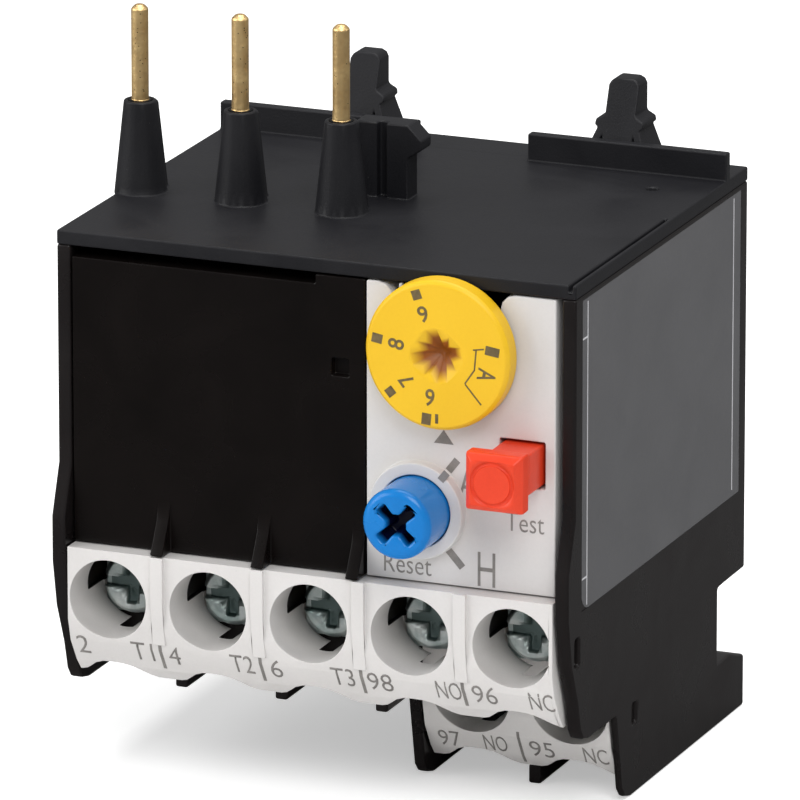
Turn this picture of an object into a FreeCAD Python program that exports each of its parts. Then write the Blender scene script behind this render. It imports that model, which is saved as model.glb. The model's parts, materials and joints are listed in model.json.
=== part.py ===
import FreeCAD, Part
import os
import re
import Sketcher

# Plug-in thermal overload relay for a small contactor.
# X runs across the relay, to the right when it is seen from the front.
# Y runs from the front to the back, and Y = 0 is the plane of the back face.
# Z runs up. The origin is the centre of the flat part of the back face.
#
# In this file a place is given as across, forward and up: across is X, forward is the
# distance in front of the back plane, and up is the height above the underside of the case.

doc = FreeCAD.newDocument("OverloadRelay")

# Driving dimensions, in millimetres and degrees.
sizes = {
    # case
    "caseWidth": 45, "caseDepth": 39.2, "caseHeight": 46.5, "coverThick": 1.2,
    "sideWall": 1.2, "rearWall": 1.4, "floorThick": 1.2, "partition": 1, "seam": 0.15,
    "chinHeight": 7.8, "chinSetback": 3.4, "cheekBulge": 1.5, "cheekStart": 27, "cheekFull": 22.8,
    "cheekEnd": 19, "footLeft": 4.3, "footWall": 1, "footFront": 29.9, "footLean": 1.2, "footCorner": 2.4,
    "heelHeight": 4.4, "notchTop": 12, "notchBottom": 5.3, "notchDepth": 6.3,
    "shelfTop": 13.6, "lowerBack": 9, "lowerWall": 0.6, "polesRight": 4.1, "toothThick": 1.1, "toothRise": 1.6,
    "carrierShelf": 28.2,
    "snapForward": 38.1, "snapWidth": 1, "snapRise": 14.6,
    # top cover
    "ledgeForward": 5.2, "ledgeThick": 1, "ledgeRise": 2.3, "ledgeGapLeft": -4.8,
    "ledgeGapRight": 5, "hookMiddle": 0.8, "hookSpacing": 23, "hookWidth": 2.7, "hookRise": 6.9,
    "hookDeep": 3.9, "hookLean": 2, "hookLegSpan": 6.2, "postRight": 0.5, "postWidth": 4.6, "postForward": 18.2, "postDeep": 2.2,
    "postRise": 6.3, "postBarb": 1.2, "postGroove": 0.8,
    "grooveDeep": 0.6, "grooveInset": 0.35, "grooveWidth": 0.3, "grooveBack": 17.7,
    "dimpleAcross": 17.7, "dimpleForward": 9.5, "dimpleWidth": 1,
    # contact pins and their boots
    "pinPitch": 8.85, "pinMiddle": -12.05, "pinForward": 25.6, "pinDiameter": 1.42, "pinTop": 62.2,
    "pinPoint": 0.35, "pinShoulder": 0.25, "fitGap": 0.02, "bootBase": 4.4, "bootTip": 2.7,
    "bootRise": 7.7, "finBase": 3.2, "finTip": 1.6, "finSetback": 1.7, "bladeThick": 0.9,
    "bladeShift": 0.2, "armRise": 41.2, "armThick": 1,
    # front plates
    "frontPlate": 1.5, "panelRound": 1.3, "frontRim": 0.8, "rimDeep": 5.7, "coverRight": 4.4, "coverGap": 0.9,
    "latchColumn": 4.3, "latchSize": 1.5, "latchRise": 37.6, "ribWidth": 1.1, "ribProud": 0.35,
    "ribRise": 5.2,
    # terminals
    "terminalPitch": 8.8, "terminalRise": 16.15, "lowerPitch": 8.6, "lowerMiddle": 14.05,
    "lowerRise": 8.1, "wellDiameter": 6.7, "wellWall": 3.7, "headSetback": 4.8, "stripTop": 20.3, "stripBottom": 9.2,
    "stripProud": 1.4, "stripDeep": 9.2, "stripChin": 2.6, "plateRight": 20.8, "scallopRise": 1.2, "scallopWidth": 6.8, "wellStep": 0.5,
    "lowerBottom": 1.8, "lowerFace": 29.5, "chamberSize": 6.3, "wireWidth": 6, "wireDeep": 5.4,
    "headDiameter": 5.2, "headThick": 1.7, "shankDiameter": 2.9, "threadClearance": 0.05,
    "shankLength": 5.5, "slotWidth": 0.9, "slotDeep": 0.9, "saddleSize": 5.8, "saddleThick": 0.8,
    "washerClearance": 0.15, "clampThick": 1.2, "clampWidth": 6.2, "clampHeight": 7,
    "tailWidth": 1.2, "tailThick": 0.8,
    # heaters and bimetals
    "stripThick": 0.8, "stripWidth": 5, "stripForward": 17, "stripFoot": 14.4, "weldGap": 0.2,
    "heaterWidth": 4.8, "heaterDeep": 7.6, "heaterWire": 0.7, "heaterPitch": 3,
    "heaterFoot": 23, "heaterTurns": 5,
    # slides
    "slideRise": 15, "slideThick": 1.5, "slideHeight": 2, "slideEnd": 8, "slideStart": -19.8,
    "fingerThick": 1.2, "fingerGap": 0.15, "slideBack": 12.4, "differentialBack": 20.1,
    "slideClearance": 0.3,
    # trip mechanism
    "pivotAcross": 13, "pivotRise": 23, "pivotDiameter": 2, "pivotClearance": 0.05,
    "hubDiameter": 4, "leverThick": 1.6, "leverGap": 0.35, "slideGap": 0.35, "leverBack": 12.6,
    "adjusterBack": 16.4, "pinBack": 11.4, "carrierLeft": 10.6, "carrierWidth": 3,
    "carrierRise": 28.5, "carrierHeight": 3, "carrierBack": 4.6, "contactThick": 0.4,
    "contactHeight": 2.4, "contactDeep": 3, "contactTravel": 1.5, "contactGap": 0.1,
    "frameBack": 25, "frameThick": 1.4, "frameFoot": 21.8, "frameTop": 44,
    # dial
    "dialAcross": 11.4, "dialRise": 40.1, "dialDiameter": 12.4, "dialThick": 1.8, "dialGap": 0.3,
    "dialNeck": 8.4, "dialNeckDeep": 3.3, "dialShaft": 3.4, "dialRecess": 4.4,
    "dialRecessDeep": 1.1, "dialArm": 1.3, "dialChamfer": 0.3, "shaftClearance": 0.05,
    "camDiameter": 5, "camOffset": 0.6, "camThick": 2, "camGap": 0.3, "neckClearance": 0.4,
    # reset
    "resetAcross": 9.1, "resetRise": 26.6, "resetKnob": 5.9, "resetProud": 5.2,
    "knobClearance": 0.08, "ringWall": 1, "ringProud": 1, "sleeveWall": 0.55, "sleeveBack": 27,
    "sleeveFloor": 1, "knobBack": 34.6, "knobSlot": 1.2, "knobSlotDeep": 2.4, "knobChamfer": 0.4,
    "studDiameter": 2.4,
    # test
    "testAcross": 17.6, "testRise": 31.1, "testWidth": 4.9, "testHeight": 4.8, "testThick": 1.9,
    "testProud": 5.8, "testChamfer": 0.6, "shankAcross": 17.95, "shankRise": 31.3,
    "testShank": 3.4, "testShankBack": 33, "testWindow": 3.9,
    # coil springs
    "springWire": 0.5, "springTurns": 3, "springWidth": 4.2, "testSpringWidth": 2.6,
}

sheet = doc.addObject("Spreadsheet::Sheet", "Sizes")
for row, (alias, number) in enumerate(sizes.items(), start=1):
    sheet.set(f"A{row}", alias)
    sheet.set(f"B{row}", str(number))
    sheet.setAlias(f"B{row}", alias)
doc.recompute()

# Places that several pieces share, as expressions of the sheet's values.
origin_height = "((notchTop + caseHeight) / 2)"
half_width = "(caseWidth / 2)"
inner_half = "(caseWidth / 2 - sideWall)"
fitted_half = "(caseWidth / 2 - sideWall - seam)"
body_top = "(caseHeight - coverThick)"
boot_top = "(caseHeight + bootRise)"
# Shares of the half width and of the rise of one scallop, from left to right.
scallop_wave = [(-1, 0), (-0.85, 0.12), (-0.7, 0.42), (-0.55, 0.75), (-0.35, 0.96), (-0.1, 1),
                (0.15, 0.97), (0.4, 0.82), (0.6, 0.52), (0.8, 0.18), (1, 0)]
floor_top = "(chinHeight + floorThick)"
strip_face = "(caseDepth + stripProud)"
clamp_front = "(caseDepth + stripProud - stripDeep - seam)"
clamp_back = f"({clamp_front} - clampThick)"
lower_clamp_front = "(lowerFace - stripDeep - seam)"
lower_clamp_back = f"({lower_clamp_front} - clampThick)"
lower_left = "(footLeft + footWall)"
lower_right = "(caseWidth / 2 - lowerWall)"
shelf_under = "(shelfTop - floorThick)"
plate_back = "(caseDepth - frontPlate)"
front_pitches = [-2, -1, 0, 1, 2]
poles = [-2, -1, 0]
nodes = []


def bound(text):
    # The expression with each sheet value written as a reference to the sheet.
    def refer(word):
        return "Sizes." + word[0] if word[0] in sizes else word[0]
    return re.sub(r"[A-Za-z_]\w*", refer, str(text))


def new_body(label, across="0", forward="0", up="0"):
    body = doc.addObject("PartDesign::Body", "Body")
    body.Label = label
    body.setExpression("Placement.Base.x", bound(across))
    body.setExpression("Placement.Base.y", bound(f"-({forward})"))
    body.setExpression("Placement.Base.z", bound(f"{up} - {origin_height}"))
    nodes.append(body)
    return body


def rectangle(low, high, bottom, top):
    return [(low, bottom), (high, bottom), (high, top), (low, top)]


def sketch(body, view, away, loops):
    # Closed loops on an origin plane of the body, moved away from it. A loop is a list of
    # corners, or one (centre, centre, radius). Every corner is bound to the sheet.
    role = {"front": "XZ_Plane", "side": "YZ_Plane", "top": "XY_Plane"}[view]
    drawing = body.newObject("Sketcher::SketchObject", "Sketch")
    plane = [item for item in body.Origin.OriginFeatures if item.Role == role][0]
    drawing.AttachmentSupport = [(plane, "")]
    drawing.MapMode = "FlatFace"
    drawing.setExpression("AttachmentOffset.Base.z", bound(away))

    def fix(kind, shape, corner, expression):
        spot = drawing.addConstraint(Sketcher.Constraint(kind, -1, 1, shape, corner, 0.0))
        drawing.setExpression(f"Constraints[{spot}]", bound(expression))

    def place(shape, corner, first, second):
        fix("DistanceX", shape, corner, f"-({first})" if view == "side" else first)
        fix("DistanceY", shape, corner, f"-({second})" if view == "top" else second)

    for loop in loops:
        first_line = drawing.GeometryCount
        if isinstance(loop, tuple):
            centre = FreeCAD.Vector(0, 0, 0)
            drawing.addGeometry(Part.Circle(centre, FreeCAD.Vector(0, 0, 1), 1))
            place(first_line, 3, loop[0], loop[1])
            spot = drawing.addConstraint(Sketcher.Constraint("Radius", first_line, 1.0))
            drawing.setExpression(f"Constraints[{spot}]", bound(loop[2]))
            continue
        count = len(loop)
        turn = FreeCAD.Rotation(FreeCAD.Vector(0, 0, 1), 360 / count)
        corner = FreeCAD.Vector(10, 0, 0)
        for _ in loop:
            following = turn.multVec(corner)
            drawing.addGeometry(Part.LineSegment(corner, following))
            corner = following
        for index, (first, second) in enumerate(loop):
            line = first_line + index
            following = first_line + (index + 1) % count
            drawing.addConstraint(Sketcher.Constraint("Coincident", line, 2, following, 1))
            place(line, 1, first, second)
    return drawing


def pad(body, view, away, length, *loops):
    # Material from the sketch on, towards the front, the right or the top.
    feature = body.newObject("PartDesign::Pad", "Pad")
    feature.Profile = sketch(body, view, away, loops)
    feature.setExpression("Length", bound(length))
    return feature


def pocket(body, view, away, length, *loops):
    # A cut from the sketch towards the back, the left or the bottom.
    feature = body.newObject("PartDesign::Pocket", "Pocket")
    feature.Profile = sketch(body, view, away, loops)
    feature.setExpression("Length", bound(length))
    return feature


def turned(body, view, axis, *loops):
    # A full turn of a half profile about an axis of the body.
    feature = body.newObject("PartDesign::Revolution", "Revolution")
    feature.Profile = sketch(body, view, "0", loops)
    line = [item for item in body.Origin.OriginFeatures if item.Role == axis][0]
    feature.ReferenceAxis = (line, [""])
    feature.Angle = 360
    return feature


def cone(body, across, forward, up, base, tip, rise):
    feature = body.newObject("PartDesign::AdditiveCone", "Cone")
    feature.Refine = False
    feature.setExpression("Radius1", bound(f"({base}) / 2"))
    feature.setExpression("Radius2", bound(f"({tip}) / 2"))
    feature.setExpression("Height", bound(rise))
    feature.setExpression("Placement.Base.x", bound(across))
    feature.setExpression("Placement.Base.y", bound(f"-({forward})"))
    feature.setExpression("Placement.Base.z", bound(up))
    return feature


# ---- case -------------------------------------------------------------------------------

def base_housing():
    body = new_body("base_housing")
    upper = [
        ("0", "notchTop"), ("0", body_top), ("caseDepth", body_top), ("caseDepth", "cheekStart"),
        ("caseDepth + cheekBulge", "cheekFull"), ("caseDepth + cheekBulge", "cheekEnd"),
        ("caseDepth + cheekBulge / 2", "chinHeight + 7.2"),
        ("caseDepth - chinSetback / 5", "chinHeight + 3.7"),
        ("caseDepth - chinSetback * 0.4", "chinHeight + 1.2"),
        ("caseDepth - chinSetback * 0.6", "chinHeight + 0.3"),
        ("caseDepth - chinSetback", "chinHeight"),
        ("notchDepth", "chinHeight"), ("notchDepth", "notchTop"),
    ]
    lower = [
        ("footFront", "chinHeight + 0.5"), ("footFront - footLean", "footCorner"),
        ("footFront - footLean - footCorner / 10", "footCorner / 2"),
        ("footFront - footLean - footCorner * 0.4", "footCorner / 6"),
        ("footFront - footLean - footCorner", "0"), ("0", "0"), ("0", "heelHeight"),
        ("notchDepth / 2", "notchBottom"), ("notchDepth", "notchBottom"),
        ("notchDepth", "chinHeight + 0.5"),
    ]
    pad(body, "side", f"-{half_width}", "caseWidth", upper)
    pad(body, "side", "footLeft", f"{half_width} - footLeft", lower)
    # The front is open between the cheeks, where the covers and the terminals go in.
    pocket(body, "front", "caseDepth + 6", f"caseDepth + 6 - {clamp_back}",
           rectangle(f"-{inner_half}", inner_half, "-1", "caseHeight"))
    pole_room = [
        (f"{clamp_back} + 1", floor_top), (f"{clamp_back} + 1", "caseHeight"),
        ("rearWall", "caseHeight"), ("rearWall", "notchTop + floorThick"),
        ("notchDepth + rearWall", "notchTop + floorThick"), ("notchDepth + rearWall", floor_top),
    ]
    pocket(body, "side", "polesRight", f"polesRight + {inner_half}", pole_room)
    trip_room = rectangle("rearWall", f"{clamp_back} + 1", "shelfTop", "caseHeight")
    pocket(body, "side", inner_half, f"{inner_half} - polesRight - partition", trip_room)
    pocket(body, "front", "caseDepth", "caseDepth - lowerBack",
           rectangle(lower_left, inner_half, "floorThick", shelf_under))
    pocket(body, "front", "footFront + 0.5", f"footFront + 0.5 - {lower_clamp_back}",
           rectangle(lower_left, lower_right, "-1", shelf_under))
    # Walls between the poles, with a slot that the slides run through.
    wall_top = f"{body_top} - armThick"
    wall = [
        (clamp_back, f"{floor_top} - 0.1"), (clamp_back, wall_top),
        ("rearWall - 0.1", wall_top), ("rearWall - 0.1", "notchTop + floorThick - 0.1"),
        ("notchDepth + rearWall - 0.1", "notchTop + floorThick - 0.1"),
        ("notchDepth + rearWall - 0.1", f"{floor_top} - 0.1"),
    ]
    for edge in ("-1.5 * terminalPitch", "-0.5 * terminalPitch"):
        pad(body, "side", f"{edge} - partition / 2", "partition", wall)
    pocket(body, "side", "polesRight + partition + 0.1",
           f"polesRight + partition + {inner_half}",
           rectangle("slideBack - slideClearance",
                     "differentialBack + slideThick + slideClearance",
                     "slideRise - slideClearance", "slideRise + slideHeight + slideClearance"))
    # Shelves that the clamp plates stand against, and the shelf of the contact carrier.
    pad(body, "side", f"-{inner_half} - 0.1", f"polesRight + {inner_half} + 0.2",
        rectangle(f"{clamp_back} - 1.6", clamp_back, f"{floor_top} - 0.1", "shelfTop"))
    pad(body, "side", f"{lower_left} - 0.1", f"{inner_half} - {lower_left} + 0.2",
        rectangle(f"{lower_clamp_back} - 1.6", lower_clamp_back, "floorThick - 0.1",
                  "lowerRise - clampHeight / 2 + 1"))
    pad(body, "side", "polesRight + partition - 0.1",
        f"{inner_half} - polesRight - partition + 0.2",
        rectangle("rearWall - 0.1", "carrierBack + 5", "carrierShelf - 1", "carrierShelf"))
    # Two snap slots in the outside of the right wall.
    pocket(body, "side", f"{half_width} + 1", "1 + sideWall / 2",
           rectangle("snapForward", "snapForward + snapWidth", "snapRise", "snapRise + 2.4"),
           rectangle("snapForward - 13", "snapForward - 13 + snapWidth", "snapRise - 8.6",
                     "snapRise - 6.8"))
    # Teeth that part the wires below the terminals.
    teeth = []
    for step in (-1.5, -0.5, 0.5):
        low = f"{step} * terminalPitch - toothThick / 2"
        high = f"{step} * terminalPitch + toothThick / 2"
        teeth.append(rectangle(low, high, f"{clamp_back} - 1", "caseDepth - chinSetback"))
    pad(body, "top", "chinHeight", f"min(toothRise; {floor_top} - chinHeight + 0.2)", *teeth)
    pad(body, "top", "0", "lowerBottom - seam",
        rectangle("lowerMiddle - toothThick / 2", "lowerMiddle + toothThick / 2",
                  f"{lower_clamp_back} - 1", "footFront - footLean - footCorner"))
    return body


def top_cover():
    body = new_body("top_cover")
    pad(body, "top", body_top, "coverThick",
        rectangle(f"-{half_width}", half_width, "0", "caseDepth"))
    # Low walls along the rear edge, open in the middle.
    pad(body, "top", "caseHeight - 0.1", "ledgeRise + 0.1",
        rectangle(f"-{half_width}", "ledgeGapLeft", "ledgeForward - ledgeThick", "ledgeForward"),
        rectangle("ledgeGapRight", half_width, "ledgeForward - ledgeThick", "ledgeForward"))
    # A groove along the right edge, and the mark of an ejector.
    pocket(body, "top", "caseHeight + 1", "grooveDeep + 1",
           rectangle(f"{half_width} - grooveInset - grooveWidth", f"{half_width} - grooveInset",
                     "grooveBack", "caseDepth + 1"),
           ("dimpleAcross", "dimpleForward", "dimpleWidth / 2"))
    for side in (-1, 1):
        middle = f"hookMiddle + {side} * hookSpacing / 2"
        half = "hookWidth / 2"
        root = "caseHeight - 0.1"
        tip = "caseHeight + hookRise"
        outline = [
            (f"{middle} - {half}", root), (f"{middle} + {half}", root),
            (f"{middle} + {half}", "caseHeight + 2.4"),
            (f"{middle} + hookLegSpan / 2 - 0.9", root), (f"{middle} + hookLegSpan / 2", root),
            (f"{middle} + {half} + 0.5", "caseHeight + 3"),
            (f"{middle} + {half} + 0.8", "caseHeight + 3.1"),
            (f"{middle} + {half} + 0.75", "caseHeight + 3.6"),
            (f"{middle} + {half}", "caseHeight + 4"),
            (f"{middle} + {half}", f"{tip} - 0.6"), (f"{middle} + {half} - 0.2", f"{tip} - 0.2"),
            (f"{middle} + {half} - 0.6", tip),
            (f"{middle} - {half} + 0.6", tip), (f"{middle} - {half} + 0.2", f"{tip} - 0.2"),
            (f"{middle} - {half}", f"{tip} - 0.6"),
            (f"{middle} - {half}", "caseHeight + 4"),
            (f"{middle} - {half} - 0.75", "caseHeight + 3.6"),
            (f"{middle} - {half} - 0.8", "caseHeight + 3.1"),
            (f"{middle} - {half} - 0.5", "caseHeight + 3"),
            (f"{middle} - hookLegSpan / 2", root), (f"{middle} - hookLegSpan / 2 + 0.9", root),
            (f"{middle} - {half}", "caseHeight + 2.4"),
        ]
        pad(body, "front", "0", "hookDeep", outline)
        # The front of the hook leans back from the ledge to its tip.
        pocket(body, "side", f"{middle} + hookLegSpan", "2 * hookLegSpan",
               [("hookDeep + 0.1", "caseHeight + 1.5"), ("hookDeep + 0.1", f"{tip} + 1"),
                ("hookDeep - hookLean", f"{tip} + 1"), ("hookDeep - hookLean", tip),
                ("hookDeep", "caseHeight + 1.5")])
    # Snap post beside the third boot: two columns with a groove between, and a barb.
    post_left = "postRight - postWidth"
    post_top = "caseHeight + postRise"
    post = [
        (post_left, "caseHeight - 0.1"), ("postRight", "caseHeight - 0.1"),
        ("postRight", f"{post_top} - 2.8"), ("postRight + postBarb", f"{post_top} - 2"),
        ("postRight + postBarb", f"{post_top} - 1.2"), ("postRight", post_top),
        (post_left, post_top),
    ]
    pad(body, "front", "postForward", "postDeep", post)
    groove = "postRight - postWidth / 2"
    pocket(body, "front", "postForward + postDeep", "postDeep / 3",
           rectangle(f"{groove} - postGroove / 2", f"{groove} + postGroove / 2",
                     "caseHeight", f"{post_top} + 1"))
    bores = []
    for pole in poles:
        across = f"pinMiddle + {pole + 1} * pinPitch"
        cone(body, across, "pinForward", "caseHeight - 0.3", "bootBase", "bootTip",
             "bootRise + 0.3")
        cone(body, across, "pinForward - finSetback", "caseHeight - 0.4", "finBase", "finTip",
             "bootRise - 0.1")
        bores.append((across, "pinForward", "pinDiameter / 2 + pinShoulder + fitGap"))
    pocket(body, "top", "caseHeight + bootRise + 1", "bootRise + coverThick + 2", *bores)
    return body


def front_cover():
    body = new_body("front_cover")
    low = f"-{fitted_half}"
    foot = "stripTop + seam"
    top = f"{body_top} - seam"
    outline = [
        (low, foot), ("coverRight", foot), ("coverRight", top), ("coverRight - latchColumn", top),
        ("coverRight - latchColumn", f"{body_top} - coverGap"), (low, f"{body_top} - coverGap"),
    ]
    pad(body, "front", f"{plate_back} - rimDeep", "frontPlate + rimDeep", outline)
    pocket(body, "front", plate_back, "rimDeep + 1",
           rectangle(f"{low} + frontRim", "coverRight - frontRim", f"{foot} + frontRim",
                     f"{body_top} - coverGap - frontRim"))
    middle = "coverRight - latchColumn / 2"
    pocket(body, "front", "caseDepth", "frontPlate / 2",
           rectangle(f"{middle} - latchSize / 2", f"{middle} + latchSize / 2",
                     "latchRise - latchSize / 2", "latchRise + latchSize / 2"))
    for place in ("-1.5 * terminalPitch", "-0.5 * terminalPitch", "coverRight - ribWidth / 2"):
        pad(body, "side", f"{place} - ribWidth / 2", "ribWidth",
            [("caseDepth - 0.2", foot), ("caseDepth + ribProud + stripProud", foot),
             ("caseDepth + ribProud", f"{foot} + ribRise / 2"),
             ("caseDepth - 0.2", f"{foot} + ribRise")])
    return body


def control_panel():
    body = new_body("control_panel")
    low = "coverRight + seam"
    foot = "stripTop + seam"
    top = f"{body_top} - seam"
    pad(body, "front", f"{plate_back} - rimDeep", "frontPlate + rimDeep",
        rectangle(low, "plateRight", foot, top))
    pocket(body, "front", plate_back, "rimDeep + 1",
           rectangle(f"{low} + frontRim", "plateRight - frontRim", f"{foot} + frontRim",
                     f"{top} - frontRim"))
    bore = "resetKnob / 2 + knobClearance"
    pad(body, "front", "caseDepth - 0.1", "ringProud + 0.1",
        ("resetAcross", "resetRise", f"{bore} + ringWall"))
    pocket(body, "front", "caseDepth + ringProud + 1", "frontPlate + ringProud + 2",
           ("resetAcross", "resetRise", bore))
    # Notch for the neck of the dial, open at the top, and the window of the test button.
    neck = "dialNeck / 2 + neckClearance"
    pocket(body, "front", "caseDepth + 1", "frontPlate + rimDeep + 2",
           ("dialAcross", "dialRise", neck))
    pocket(body, "front", "caseDepth + 1", "frontPlate + rimDeep + 2",
           rectangle(f"dialAcross - {neck}", f"dialAcross + {neck}", "dialRise", f"{top} + 1"))
    for side in (-1, 1):
        corner = f"(dialAcross + {side} * ({neck}))"
        pocket(body, "front", "caseDepth + 1", "frontPlate + rimDeep + 2",
               [(f"{corner} - {side} * 0.5", f"{top} + 1"),
                (f"{corner} - {side} * 0.5", f"{top} - panelRound"), (corner, f"{top} - panelRound"),
                (f"{corner} + {side} * 0.13 * panelRound", f"{top} - 0.5 * panelRound"),
                (f"{corner} + {side} * 0.5 * panelRound", f"{top} - 0.13 * panelRound"),
                (f"{corner} + {side} * panelRound", top), (f"{corner} + {side} * panelRound", f"{top} + 1")])
    pocket(body, "front", "caseDepth + 1", "frontPlate + rimDeep + 2",
           rectangle("shankAcross - testWindow / 2", "shankAcross + testWindow / 2",
                     "shankRise - testWindow / 2", "shankRise + testWindow / 2"))
    return body


def terminal_strip(label, left, right, face, top, bottom, holes, rise):
    # A moulded row of terminals: a screw well in front, a chamber for the saddle behind it,
    # and a wire entry from below. The lower edge is scalloped between the terminals.
    body = new_body(label)
    back = f"{face} - stripDeep"
    chin = f"{face} - stripChin"
    pad(body, "side", left, f"{right} - ({left})",
        [(back, top), (face, top), (face, f"{bottom} + 5"),
         (f"{face} - stripChin / 5", f"{bottom} + 3"),
         (f"{face} - stripChin * 2 / 3", f"{bottom} + 1"), (chin, bottom), (back, bottom)])
    scallops = []
    wells = []
    chambers = []
    cellars = []
    entries = []
    for hole in holes:
        wells.append((hole, rise, "wellDiameter / 2"))
        half = "chamberSize / 2"
        # The wall of the well reaches further back in its lower half.
        chambers.append(rectangle(f"{hole} - {half}", f"{hole} + {half}",
                                  f"{rise} - wellStep", f"{rise} + {half} + 0.2"))
        cellars.append(rectangle(f"{hole} - {half}", f"{hole} + {half}",
                                 f"{rise} - clampHeight / 2", f"{rise} - wellStep + 0.1"))
        entries.append(rectangle(f"{hole} - wireWidth / 2", f"{hole} + wireWidth / 2",
                                 f"{back} - 1", f"{back} + wireDeep"))
        wave = [(f"{hole} + {share} * scallopWidth / 2", f"{bottom} + {rise_share} * scallopRise")
                for share, rise_share in scallop_wave]
        scallops.append([(f"{hole} - scallopWidth / 2", f"{bottom} - 1"), *wave,
                         (f"{hole} + scallopWidth / 2", f"{bottom} - 1")])
    pocket(body, "front", f"{face} + 1", "headSetback + headThick + 1.2", *wells)
    pocket(body, "front", f"{face} - wellWall", "stripDeep", *chambers)
    pocket(body, "front", f"{face} - headSetback - headThick + 0.1", "stripDeep", *cellars)
    pocket(body, "top", f"{rise} - clampHeight / 2 + 0.2", "clampHeight", *entries)
    pocket(body, "front", f"{face} + 1", "stripDeep + 2", *scallops)
    return body


def front_terminal_strip():
    holes = [f"{step} * terminalPitch" for step in front_pitches]
    body = terminal_strip("front_terminal_strip", f"-{fitted_half}", "plateRight", strip_face,
                          "stripTop", "stripBottom", holes, "terminalRise")
    # Pillars between the wells carry on the ribs of the front cover.
    for step in (-1.5, -0.5, 0.5, 1.5):
        pad(body, "side", f"{step} * terminalPitch - ribWidth / 2", "ribWidth",
            [(f"{strip_face} - 1", "stripTop"), (f"{strip_face} + ribProud", "stripTop"),
             (f"{strip_face} + ribProud", "terminalRise + 0.4"),
             (f"{strip_face} - 0.2", "terminalRise - 3.4"),
             (f"{strip_face} - 1", "terminalRise - 3.4")])
    return body


def rear_terminal_strip():
    holes = [f"lowerMiddle - lowerPitch / 2", f"lowerMiddle + lowerPitch / 2"]
    return terminal_strip("rear_terminal_strip", f"{lower_left} + seam",
                          f"{lower_right} - seam", "lowerFace", f"{shelf_under} - seam", "lowerBottom", holes,
                          "lowerRise")


# ---- terminals ---------------------------------------------------------------------------

def terminal(name, across, rise, face, tail_rise):
    # The clamp plate, the saddle washer and the screw of one terminal.
    back = f"({face} - stripDeep - seam - clampThick)"
    head_front = f"({face} - headSetback)"
    bore = "shankDiameter / 2 + threadClearance"
    plate = new_body(f"clamp_plate_{name}", across, "0", rise)
    pad(plate, "front", back, "clampThick",
        rectangle("-clampWidth / 2", "clampWidth / 2", "-clampHeight / 2", "clampHeight / 2"))
    pocket(plate, "front", f"{back} + clampThick + 1", "clampThick + 2", ("0", "0", bore))
    tail_top = f"{tail_rise} - ({rise})"
    pad(plate, "side", "-heaterWidth / 2", "tailWidth",
        [(f"{back} + clampThick", "clampHeight / 2 - 1.2"), (f"{back} + clampThick", tail_top),
         ("stripForward + heaterDeep / 2 - heaterWire", tail_top),
         ("stripForward + heaterDeep / 2 - heaterWire", f"{tail_top} - tailThick"),
         (back, f"{tail_top} - tailThick"), (back, "clampHeight / 2 - 1.2")]
        if tail_rise != rise else
        rectangle("lowerBack + 2", back, "clampHeight / 2 - tailThick", "clampHeight / 2"))

    washer = new_body(f"saddle_washer_{name}", across, "0", rise)
    washer_front = f"({head_front} - headThick)"
    half = "saddleSize / 2"
    pad(washer, "front", f"{washer_front} - saddleThick", "saddleThick",
        [(f"-{half} + 0.8", f"-{half}"), (f"{half} - 0.8", f"-{half}"),
         (half, f"-{half} + 0.8"), (half, f"{half} - 0.8"), (f"{half} - 0.8", half),
         (f"-{half} + 0.8", half), (f"-{half}", f"{half} - 0.8"), (f"-{half}", f"-{half} + 0.8")])
    pocket(washer, "front", f"{washer_front} + 1", "saddleThick + 2",
           ("0", "0", f"{bore} + washerClearance"))

    screw = new_body(f"terminal_screw_{name}", across, "0", rise)
    turned(screw, "top", "Y_Axis",
           [("0", f"{head_front} - headThick - shankLength"),
            ("shankDiameter / 2 - 0.4", f"{head_front} - headThick - shankLength"),
            ("shankDiameter / 2", f"{head_front} - headThick - shankLength + 0.5"),
            ("shankDiameter / 2", washer_front), ("headDiameter / 2", washer_front),
            ("headDiameter / 2", f"{head_front} - 0.5"),
            ("headDiameter / 2 - 0.4", head_front), ("0", head_front)])
    pocket(screw, "front", head_front, "slotDeep",
           rectangle("-headDiameter", "headDiameter", "-slotWidth / 2", "slotWidth / 2"))
    pocket(screw, "front", head_front, "slotDeep",
           rectangle("-slotWidth / 2", "slotWidth / 2", "-headDiameter / 3", "headDiameter / 3"))


# ---- current paths -------------------------------------------------------------------------

def contact_pin(pole):
    # A round pin with a thicker root in the cover, a flat blade and an arm to the bimetal strip.
    pin_across = f"pinMiddle + {pole + 1} * pinPitch"
    body = new_body(f"contact_pin_{pole + 3}", pin_across, "pinForward")
    radius = "pinDiameter / 2"
    turned(body, "front", "Z_Axis",
           [("0", body_top), (f"{radius} + pinShoulder", body_top),
            (f"{radius} + pinShoulder", boot_top), (radius, boot_top), (radius, "pinTop - pinPoint"),
            (f"{radius} - pinPoint", "pinTop"), ("0", "pinTop")])
    blade_left = "(bladeShift - bladeThick / 2)"
    pad(body, "top", "armRise", f"{body_top} - armRise",
        rectangle(blade_left, "bladeShift + bladeThick / 2", "-0.7", "0.7"))
    reach = f"({pole} * terminalPitch - ({pin_across}))"
    tongue = "(stripForward - pinForward)"
    shoulder = f"({tongue} + heaterDeep / 2 - heaterWire - 0.5)"
    pad(body, "top", "armRise", "armThick",
        [(blade_left, "0.7"), (f"{reach} + heaterWidth / 2", "0.7"),
         (f"{reach} + heaterWidth / 2", shoulder), (f"{reach} + 0.9", shoulder),
         (f"{reach} + 0.9", f"{tongue} - stripWidth / 3"),
         (f"{reach} - 0.9", f"{tongue} - stripWidth / 3"),
         (f"{reach} - 0.9", shoulder), (blade_left, shoulder)])


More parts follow.
